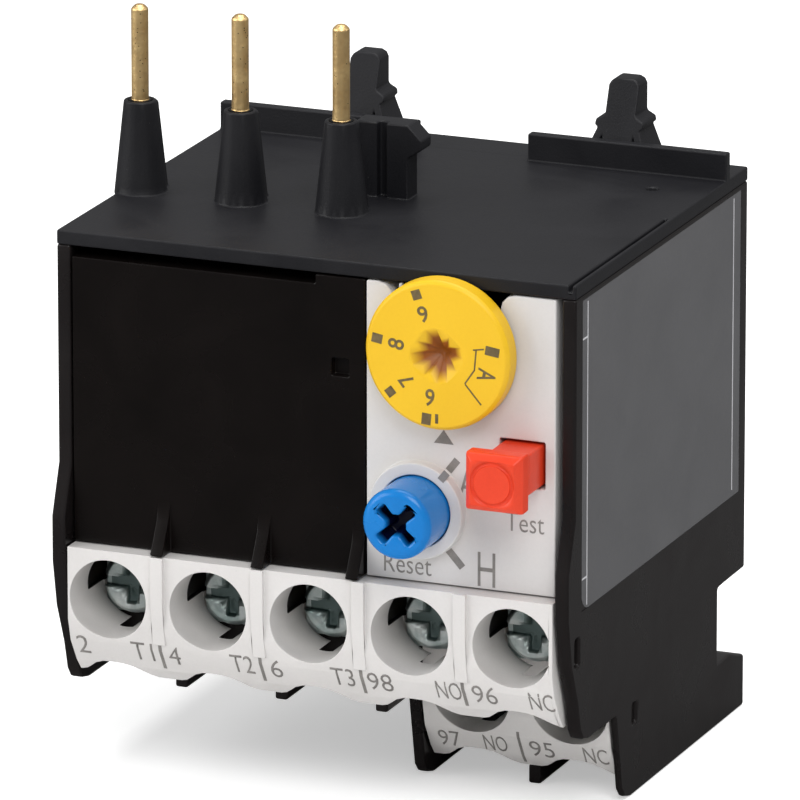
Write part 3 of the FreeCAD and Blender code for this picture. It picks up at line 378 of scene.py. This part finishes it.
# Painted shade: what lies behind a face, inside a radius, darkens to a painted shade colour in
# the recesses of the dial, the knob and the screw heads and in the terminal wells;
# the roots of the pins take the dark colour of their boots. Start and full are how far behind
# the face the darkening starts and is complete.
paintedShadeAndPinRoots = {
    # painted shade in the dial's star recess, an orange-brown darkening of the yellow
    "setting_dial": {"colour": (0.30, 0.085, 0.008), "centre": dialCentre,
                     "radius": 2.5, "start": 0.02, "full": 0.75},
    # painted shade in the knob's star recess, a dark blue
    "reset_button": {"colour": (0.002, 0.004, 0.028), "centre": knobCentre,
                     "radius": 2.3, "start": 0.1, "full": 0.9},
    "front_terminal_strip": {"colour": paintedWellShade, "centre": (0, 36.9, 17.0),
                             "radius": 25, "start": 0.02, "full": 0.1, "lowest": 15.6},
    "rear_terminal_strip": {"colour": paintedWellShade, "centre": (14, 25.8, 9.0),
                            "radius": 25, "start": 0.02, "full": 0.1, "lowest": 7.6},
}
for number, across in ((1, -20.9), (2, -12.05), (3, -3.2)):
    # the root of a pin is as dark as its boot, up to the tip of the boot, so the radius
    # runs from the underside up to that tip
    paintedShadeAndPinRoots[f"contact_pin_{number}"] = {
        "colour": (0.012, 0.012, 0.014), "centre": (across, 50, 0), "radius": 54.23,
        "start": 0, "full": 0.1}
# painted shade in the driver recess of each screw head, a darker zinc colour
screwRecessShade = {"colour": (0.15, 0.20, 0.195), "radius": 2.1, "start": 0.15, "full": 0.9}
mergeDistance = 0.002  # in mm
flatSeam = math.radians(0.6)  # faces that meet flatter than this become one
edgeAngle = math.radians(32)  # edges sharper than this are rounded
edgeSegments = 2
shadeAngle = math.radians(40)


# Driver recesses: a star whose arms reach to the outer radius and whose walls lean inwards.
# A plug (radius, depth) first fills the plain recess of the carried-over solid where there
# is one. Turn is the angle of the first arm, and spread is half an arm's width, in degrees.
recesses = {
    "setting_dial": {"centre": dialCentre, "plug": (2.35, 1.1), "deep": 1.45,
                     "outer": 2.25, "side": 2.0, "inner": 1.5, "floor": 0.25, "turn": 12,
                     "spread": 12},
    "reset_button": {"centre": knobCentre, "plug": (2.3, 2.4), "deep": 2.3,
                     "outer": 2.05, "side": 0.9, "inner": 0.9, "floor": 0.72, "turn": 45,
                     "spread": 15},
}
driverRecess = {"deep": 0.95, "outer": 1.8, "side": 1.75, "inner": 1.1, "floor": 0.4,
                "turn": 18, "spread": 7}
starAngles = {"before": 27, "between": 45, "after": 63}  # the points between two arms
plugSides = 32
plugExtra = 0.05  # a plug reaches past the recess's floor by this much, in mm
cutLift = 0.1  # a cutter starts in front of the face by this much, in mm


def prism(outline, centre, back, front, floorShare):
    # a solid between two planes, whose back face is smaller than its front face
    middle = spot(centre[0], 0, centre[2])
    points = []
    for forward, share in ((front, 1), (back, floorShare)):
        for radius, turn in outline:
            angle = math.radians(turn)
            points.append((middle.x + share * radius * mm * math.cos(angle), -forward * mm,
                           middle.z + share * radius * mm * math.sin(angle)))
    return solidBetween(points, "cutter")


def carve(piece, cutter, operation):
    # cuts away from the piece, or adds to it, and stops if nothing is left
    step = piece.modifiers.new("carve", "BOOLEAN")
    step.operation = operation
    step.solver = "EXACT"
    step.object = cutter
    applyAll(piece)
    bpy.data.objects.remove(cutter)
    if not piece.data.polygons:
        raise RuntimeError(f"nothing is left of {piece.name}")


def starRecess(piece, card, centre):
    face = centre[1]
    if "plug" in card:
        radius, deep = card["plug"]
        ring = [(radius, 360 * i / plugSides) for i in range(plugSides)]
        carve(piece, prism(ring, centre, face - deep - plugExtra, face, 1), "UNION")
    outline = []
    for arm in range(4):
        turn = card["turn"] + 90 * arm
        outline += [(card["outer"], turn - card["spread"]),
                    (card["outer"], turn + card["spread"]),
                    (card["inner"], turn + starAngles["before"]),
                    (card["side"], turn + starAngles["between"]),
                    (card["inner"], turn + starAngles["after"])]
    share = 1 + (1 - card["floor"]) * cutLift / card["deep"]
    above = [(radius * share, turn) for radius, turn in outline]
    carve(piece, prism(above, centre, face - card["deep"], face + cutLift,
                       card["floor"] / share), "DIFFERENCE")


# The chambers open beside the wells, from a step behind the face to the back of the strip.
chambers = {
    "front_terminal_strip": {"across": (-17.6, -8.8, 0, 8.8, 17.6), "front": 36.9, "back": 31.3,
                             "low": 15.65, "high": 19.35, "half": 3.65},
    "rear_terminal_strip": {"across": (9.75, 18.35), "front": 25.8, "back": 20.2,
                            "low": 7.6, "high": 11.3, "half": 3.6},
}


def openChambers(piece, card):
    size = (2 * card["half"], card["front"] - card["back"], card["high"] - card["low"])
    for across in card["across"]:
        middle = (across, (card["front"] + card["back"]) / 2,
                  (card["high"] + card["low"]) / 2)
        carve(piece, block(middle, size), "DIFFERENCE")


# A thin wall closes the right end of the front strip. Its profile is (forward, up).
stripEnd = {"left": 20.79, "right": 21.12,
            "profile": [(31.4, 9.2), (38.0, 9.2), (38.867, 10.2), (40.08, 12.2), (40.6, 14.2),
                        (40.6, 20.3), (31.4, 20.3)]}


def endWall(piece):
    points = [spot(across, forward, up) for across in (stripEnd["left"], stripEnd["right"])
              for forward, up in stripEnd["profile"]]
    carve(piece, solidBetween(points, "endWall"), "UNION")


# The bare rating label on the right wall, with its frame lines as (back, low, front, high).
label = {"wall": 22.445, "back": 1.6, "front": 37.7, "low": 19.0, "high": 44.9,
         "thick": 0.035, "corner": 1.6, "cornerSteps": 5, "bed": 0.3, "lineThick": 0.015,
         "edgeZone": 1,
         "lines": [(36.45, 19.3, 36.6, 44.6), (36.6, 41.6, 37.6, 41.75),
                   (36.6, 21.6, 37.6, 21.75), (3.2, 19.6, 3.35, 44.6)]}


def wallPlate(back, low, front, high, wall, thick):
    # a thin plate on the right wall, between two forward distances and two heights
    return block((wall + thick / 2, (back + front) / 2, (low + high) / 2),
                 (thick, front - back, high - low))


def labelBed(piece):
    # a shallow bed that takes the label, so that it lies flush with the wall
    carve(piece, wallPlate(label["back"], label["low"], label["front"], label["high"],
                           label["wall"], label["bed"]), "DIFFERENCE")


def headCentre(screw):
    # the middle of the front of a screw's head, in mm, from its own mesh
    places = [vertex.co for vertex in screw.data.vertices]
    front = min(place.y for place in places)
    across = [place.x for place in places]
    up = [place.z for place in places]
    return ((min(across) + max(across)) / 2 / mm, -front / mm,
            (min(up) + max(up)) / 2 / mm + originHeight)


# A round groove in the face of the test button.
capRing = {"centre": (17.6, 45.0, 31.1), "middle": 1.72, "half": 0.19, "around": 56,
           "across": 10}


def capGroove(piece):
    deselect()
    bpy.ops.mesh.primitive_torus_add(
        major_radius=capRing["middle"] * mm, minor_radius=capRing["half"] * mm,
        major_segments=capRing["around"], minor_segments=capRing["across"],
        location=spot(*capRing["centre"]), rotation=(math.radians(90), 0, 0))
    ring = bpy.context.object
    bpy.ops.object.transform_apply(location=True, rotation=True, scale=True)
    carve(piece, ring, "DIFFERENCE")


def rounded(node):
    # a copy of the node with rounded edges, its own recesses and its finish
    width, look = roundedNodes[node]
    source = cadNodes[node]
    piece = bpy.data.objects.new(f"{node}_finished", source.data.copy())
    bpy.context.scene.collection.objects.link(piece)
    pick(piece)
    bpy.ops.object.mode_set(mode="EDIT")
    bpy.ops.mesh.select_all(action="SELECT")
    bpy.ops.mesh.remove_doubles(threshold=mergeDistance * mm)
    bpy.ops.mesh.dissolve_limited(angle_limit=flatSeam)
    bpy.ops.object.mode_set(mode="OBJECT")
    if node == "reset_button":
        starRecess(piece, recesses[node], recesses[node]["centre"])
    elif node in chambers:
        if node == "front_terminal_strip":
            endWall(piece)
        openChambers(piece, chambers[node])
    edges = piece.modifiers.new("edges", "BEVEL")
    edges.width = width * mm
    edges.segments = edgeSegments
    edges.limit_method = "ANGLE"
    edges.angle_limit = edgeAngle
    edges.use_clamp_overlap = False
    edges.miter_outer = "MITER_ARC"
    applyAll(piece)
    if node.startswith("terminal_screw_"):
        starRecess(piece, driverRecess, headCentre(piece))
    elif node == "base_housing":
        labelBed(piece)
    elif node == "setting_dial":
        starRecess(piece, recesses[node], recesses[node]["centre"])
    elif node == "test_button":
        capGroove(piece)
    shade = piece.modifiers.new("shade", "WEIGHTED_NORMAL")
    shade.keep_sharp = True
    pick(piece)
    bpy.ops.object.shade_smooth_by_angle(angle=shadeAngle)
    applyAll(piece)
    material = looks.get(node) or looks[look]
    settled(piece, material, node)
    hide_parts(node)
    return piece


looks = {name: finish(name) for name in finishes}
for node in cadNodes:
    if node.startswith("terminal_screw_"):
        paintedShadeAndPinRoots[node] = {**screwRecessShade, "centre": headCentre(cadNodes[node])}
# the finishes that carry painted shade in their recesses and wells, and the pins with their
# dark roots
for node, deep in paintedShadeAndPinRoots.items():
    looks[node] = finish(roundedNodes[node][1], deep)
finished = {node: rounded(node) for node in roundedNodes}
print("rounded", len(roundedNodes), "nodes")

innerLooks = {"inner_plastic": "innerPlastic", "contact_brass": "brassInner",
              "zinc_steel": "zincBlue"}
for name, node in cadNodes.items():
    if name in roundedNodes:
        continue
    node.data.materials.clear()
    node.data.materials.append(looks[innerLooks.get(slotOf[name], "steelInner")])
print("finished the inner nodes")

# Printed signs, as thin raised ink on a face. Each text is (text, across, up, width, height,
# turn) and each bar has the same without a text. Laid signs follow a sloped face.
stripSigns = {
    "face": 41.2, "node": "front_terminal_strip", "ink": "greyInk", "laid": True,
    "texts": [("2", -20.1, 11.9, 1.05, 1.7, 0), ("T1", -14.85, 11.9, 1.9, 1.7, 0),
              ("4", -12.05, 11.85, 1.0, 1.7, 0), ("T2", -6.1, 11.85, 2.0, 1.7, 0),
              ("6", -3.1, 11.8, 1.0, 1.7, 0), ("T3", 2.7, 11.8, 2.0, 1.7, 0),
              ("98", 5.95, 11.75, 2.15, 1.7, 0), ("NO", 11.9, 11.75, 2.15, 1.7, 0),
              ("96", 15.0, 11.75, 2.1, 1.7, 0), ("NC", 19.9, 11.7, 2.1, 1.7, 0)],
    "bars": [(x, 11.55, 0.28, 2.3, 0) for x in (-13.2, -4.4, 4.4, 13.2)],
}
lowerSigns = {
    "face": 30.1, "node": "rear_terminal_strip", "ink": "greyInk", "laid": True,
    "texts": [("97", 7.4, 3.75, 1.9, 1.55, 0), ("NO", 11.45, 3.8, 2.0, 1.55, 0),
              ("95", 15.5, 3.75, 2.1, 1.55, 0), ("NC", 20.2, 3.75, 2.1, 1.55, 0)],
    "bars": [(13.65, 3.7, 0.24, 3.1, 0)],
}
panelSigns = {
    "face": 39.2, "node": "control_panel", "ink": "greyInk",
    "texts": [("Reset", 8.1, 21.8, 4.1, 1.6, 0), ("H", 14.9, 22.1, 1.5, 2.85, 0),
              ("Test", 18.2, 26.4, 3.3, 1.6, 0), ("A", 13.3, 29.2, 1.6, 2.6, 0)],
    "bars": [(12.0, 30.5, 0.62, 1.25, -38), (12.2, 22.75, 0.62, 1.9, 42)],
}
ringSigns = {
    "face": 40.2, "node": "control_panel", "ink": "greyInk", "texts": [],
    "bars": [(11.6, 29.8, 0.62, 0.92, -38)],
}
dialSigns = {
    "face": 41.3, "node": "setting_dial", "ink": "dialInk", "weight": 0.012,
    "texts": [("9", -1.15, 3.35, 0.85, 1.35, 20), ("8", -3.47, 0.65, 0.85, 1.4, 80),
              ("7", -2.6, -2.25, 0.8, 1.3, 128), ("6", -0.57, -3.5, 0.8, 1.45, 175),
              ("A", 4.3, -1.15, 1.0, 1.55, -100)],
    "bars": [(-1.72, 4.9, 0.78, 0.8, 20), (-5.1, 0.95, 0.78, 0.9, 80),
             (-3.96, -3.37, 0.75, 0.75, 130), (-0.86, -5.3, 0.8, 0.95, 175),
             (0.03, -5.2, 0.26, 0.78, 180), (4.78, 0.87, 0.75, 1.2, -98),
             (3.6, 0.92, 0.12, 0.95, -80), (3.33, 0.0, 0.12, 1.75, -5),
             (2.85, -1.42, 0.12, 1.45, -34), (3.15, -2.85, 0.12, 2.1, 41)],
}
inkThickness = 0.02
blankThickness = 0.2  # of a sign before it is scaled to its size
plainWeight = -0.006  # thins the strokes of a text
textSteps = 3
slopeStep = 0.3  # height in mm of the bands of a sign that follows a slope


def placedFlat(part, width, height, turn, across, forward, up):
    # an upright flat shape, scaled to its size and laid on a face that looks forward
    low = Vector([min(v.co[i] for v in part.data.vertices) for i in range(3)])
    high = Vector([max(v.co[i] for v in part.data.vertices) for i in range(3)])
    size = high - low
    middle = (high + low) / 2
    thick = inkThickness * mm / size.z if size.z > 0 else 1
    shape = Matrix.Diagonal((width * mm / size.x, height * mm / size.y, thick, 1))
    stand = Matrix.Rotation(math.radians(90), 4, "X")
    swing = Matrix.Rotation(math.radians(turn), 4, "Z")
    place = Matrix.Translation(spot(across, forward + inkThickness / 2, up))
    part.data.transform(place @ stand @ swing @ shape @ Matrix.Translation(-middle))


def laidOn(part, target):
    # bends a flat sign onto the sloped face behind it and gives it back its thickness
    pick(part)
    bpy.ops.object.mode_set(mode="EDIT")
    low = min(v.co.z for v in part.data.vertices)
    high = max(v.co.z for v in part.data.vertices)
    step = slopeStep * mm
    for i in range(1, math.ceil((high - low) / step)):
        bpy.ops.mesh.select_all(action="SELECT")
        bpy.ops.mesh.bisect(plane_co=(0, 0, low + i * step), plane_no=(0, 0, 1))
    bpy.ops.object.mode_set(mode="OBJECT")
    wrap = part.modifiers.new("wrap", "SHRINKWRAP")
    wrap.wrap_method = "PROJECT"
    wrap.use_project_y = True
    wrap.use_negative_direction = False
    wrap.use_positive_direction = True
    wrap.target = target
    skin = part.modifiers.new("skin", "SOLIDIFY")
    skin.thickness = inkThickness * mm
    skin.offset = 1
    applyAll(part)


def signs(name, card, centre=(0, 0)):
    # all the texts and bars of one card as one piece
    parts = []
    laid = "laid" in card
    for text, across, up, width, height, turn in card["texts"]:
        deselect()
        bpy.ops.object.text_add()
        part = bpy.context.object
        part.data.body = text
        part.data.extrude = 0.0 if laid else blankThickness / 2
        part.data.offset = card.get("weight", plainWeight)
        part.data.resolution_u = textSteps
        bpy.ops.object.convert(target="MESH")
        parts.append((bpy.context.object, width, height, turn, across, up))
    for across, up, width, height, turn in card["bars"]:
        deselect()
        bpy.ops.mesh.primitive_plane_add(size=1)
        if not laid:
            thickened(blankThickness)
        parts.append((bpy.context.object, width, height, turn, across, up))
    for part, width, height, turn, across, up in parts:
        placedFlat(part, width, height, turn, centre[0] + across, card["face"], centre[1] + up)
        if laid:
            laidOn(part, finished[card["node"]])
    return settled(joined([entry[0] for entry in parts], name), looks[card["ink"]],
                   card["node"])


signs("strip_signs", stripSigns)
signs("lower_strip_signs", lowerSigns)
signs("panel_signs", panelSigns)
signs("ring_mark", ringSigns)
signs("dial_signs", dialSigns, (dialCentre[0], dialCentre[2]))
print("printed the signs")

# The grey arrow below the dial points at the set value.
pointer = {"across": 11.2, "up": 32.8, "width": 1.7, "height": 1.15, "face": 39.2}


def pointerMark():
    deselect()
    bpy.ops.mesh.primitive_circle_add(vertices=3, radius=1, fill_type="NGON")
    part = bpy.context.object
    thickened(blankThickness)
    placedFlat(part, pointer["width"], pointer["height"], 0, pointer["across"],
               pointer["face"], pointer["up"])
    settled(joined([part], "dial_pointer"), looks["greyInk"], "control_panel")


pointerMark()


def ratingLabel():
    # the sheet's lower corner at the front is round
    sheet = wallPlate(label["back"], label["low"], label["front"], label["high"],
                      label["wall"], label["thick"])
    corners = sheet.modifiers.new("corners", "BEVEL")
    corners.width = label["corner"] * mm
    corners.segments = label["cornerSteps"]
    corners.limit_method = "WEIGHT"
    weights = sheet.data.attributes.new("bevel_weight_edge", "FLOAT", "EDGE")
    lowZone = spot(0, 0, label["low"] + label["edgeZone"]).z
    frontZone = spot(0, label["front"] - label["edgeZone"], 0).y
    for edge in sheet.data.edges:
        ends = [sheet.data.vertices[i].co for i in edge.vertices]
        lower = max(end.z for end in ends) < lowZone
        forward = max(end.y for end in ends) < frontZone
        weights.data[edge.index].value = 1.0 if lower and forward else 0.0
    applyAll(sheet)
    settled(joined([sheet], "rating_label"), looks["labelFoil"], "base_housing")
    lines = [wallPlate(*line, label["wall"] + label["thick"], label["lineThick"])
             for line in label["lines"]]
    settled(joined(lines, "rating_label_lines"), looks["labelInk"], "base_housing")


ratingLabel()
print("laid the rating label")

# A pale floor, soft light and the camera.
floorSettings = {"size": 6.0, "colour": (0.93, 0.93, 0.93, 1), "roughness": 0.65,
                 "glow": 0.45, "mirrored": (0.16, 0.16, 0.16, 1)}
lamps = {  # place in m, size in m and power in W; each lamp faces the origin
    "key_light": ((0.45, -0.85, 0.95), 0.7, 9.0),
    "left_light": ((-0.9, -0.6, 0.45), 0.8, 6.5),
    "top_light": ((0.0, 0.15, 1.1), 0.8, 8.0),
    "right_light": ((1.0, 0.35, 0.55), 0.5, 1.6),
}
worldLook = {"colour": (1, 1, 1, 1), "strength": 0.26, "backdrop": 1.0}
cameraSettings = {"place": (0.33963, -0.86102, 0.26654), "azimuth": 22.01,
                  "elevation": 16.367, "lens": 519.53, "sensor": 36, "near": 0.01,
                  "far": 20}


def byRay(tree, ray, usual, special, output):
    # one shader for the named kind of ray and another for all other rays
    path = tree.nodes.new("ShaderNodeLightPath")
    mix = tree.nodes.new("ShaderNodeMixShader")
    tree.links.new(path.outputs[ray], mix.inputs["Fac"])
    tree.links.new(usual, mix.inputs[1])
    tree.links.new(special, mix.inputs[2])
    tree.links.new(mix.outputs["Shader"], tree.nodes[output].inputs["Surface"])
    return path


def studio():
    deselect()
    bpy.ops.mesh.primitive_plane_add(size=floorSettings["size"],
                                     location=(0, 0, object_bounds()[0][2]))
    floor = bpy.context.object
    floor.name = "floor"
    paint = bpy.data.materials.new("floorPaint")
    paint.use_nodes = True
    shader = paint.node_tree.nodes["Principled BSDF"]
    shader.inputs["Base Color"].default_value = floorSettings["colour"]
    shader.inputs["Roughness"].default_value = floorSettings["roughness"]
    shader.inputs["Emission Color"].default_value = floorSettings["colour"]
    # The camera sees a slightly glowing floor, and glossy surfaces mirror a dark one.
    mirrored = paint.node_tree.nodes.new("ShaderNodeBsdfDiffuse")
    mirrored.inputs["Color"].default_value = floorSettings["mirrored"]
    path = byRay(paint.node_tree, "Is Glossy Ray", shader.outputs["BSDF"],
                 mirrored.outputs["BSDF"], "Material Output")
    glow = mathNode(paint.node_tree.nodes, "MULTIPLY")
    glow.inputs[1].default_value = floorSettings["glow"]
    paint.node_tree.links.new(path.outputs["Is Camera Ray"], glow.inputs[0])
    paint.node_tree.links.new(glow.outputs[0], shader.inputs["Emission Strength"])
    floor.data.materials.append(paint)
    floor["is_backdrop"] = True
    for name, (place, size, power) in lamps.items():
        light = bpy.data.lights.new(name, "AREA")
        light.size = size
        light.energy = power
        lamp = bpy.data.objects.new(name, light)
        lamp.location = place
        lamp.rotation_euler = (-Vector(place)).to_track_quat("-Z", "Y").to_euler()
        bpy.context.scene.collection.objects.link(lamp)
    world = bpy.data.worlds.new("studio")
    world.use_nodes = True
    # The camera sees a white backdrop, and the relay is lit by a dimmer one.
    surround = world.node_tree.nodes["Background"]
    surround.inputs["Strength"].default_value = worldLook["strength"]
    backdrop = world.node_tree.nodes.new("ShaderNodeBackground")
    backdrop.inputs["Strength"].default_value = worldLook["backdrop"]
    for background in (surround, backdrop):
        background.inputs["Color"].default_value = worldLook["colour"]
    byRay(world.node_tree, "Is Camera Ray", surround.outputs["Background"],
          backdrop.outputs["Background"], "World Output")
    bpy.context.scene.world = world
    bpy.context.scene.view_settings.view_transform = "Standard"
    lens = bpy.data.cameras.new("camera")
    lens.lens = cameraSettings["lens"]
    lens.sensor_width = cameraSettings["sensor"]
    lens.clip_start = cameraSettings["near"]
    lens.clip_end = cameraSettings["far"]
    camera = bpy.data.objects.new("camera", lens)
    camera.location = cameraSettings["place"]
    camera.rotation_euler = (math.radians(90 - cameraSettings["elevation"]), 0,
                             math.radians(cameraSettings["azimuth"]))
    bpy.context.scene.collection.objects.link(camera)
    bpy.context.scene.camera = camera


studio()
print("set the studio")
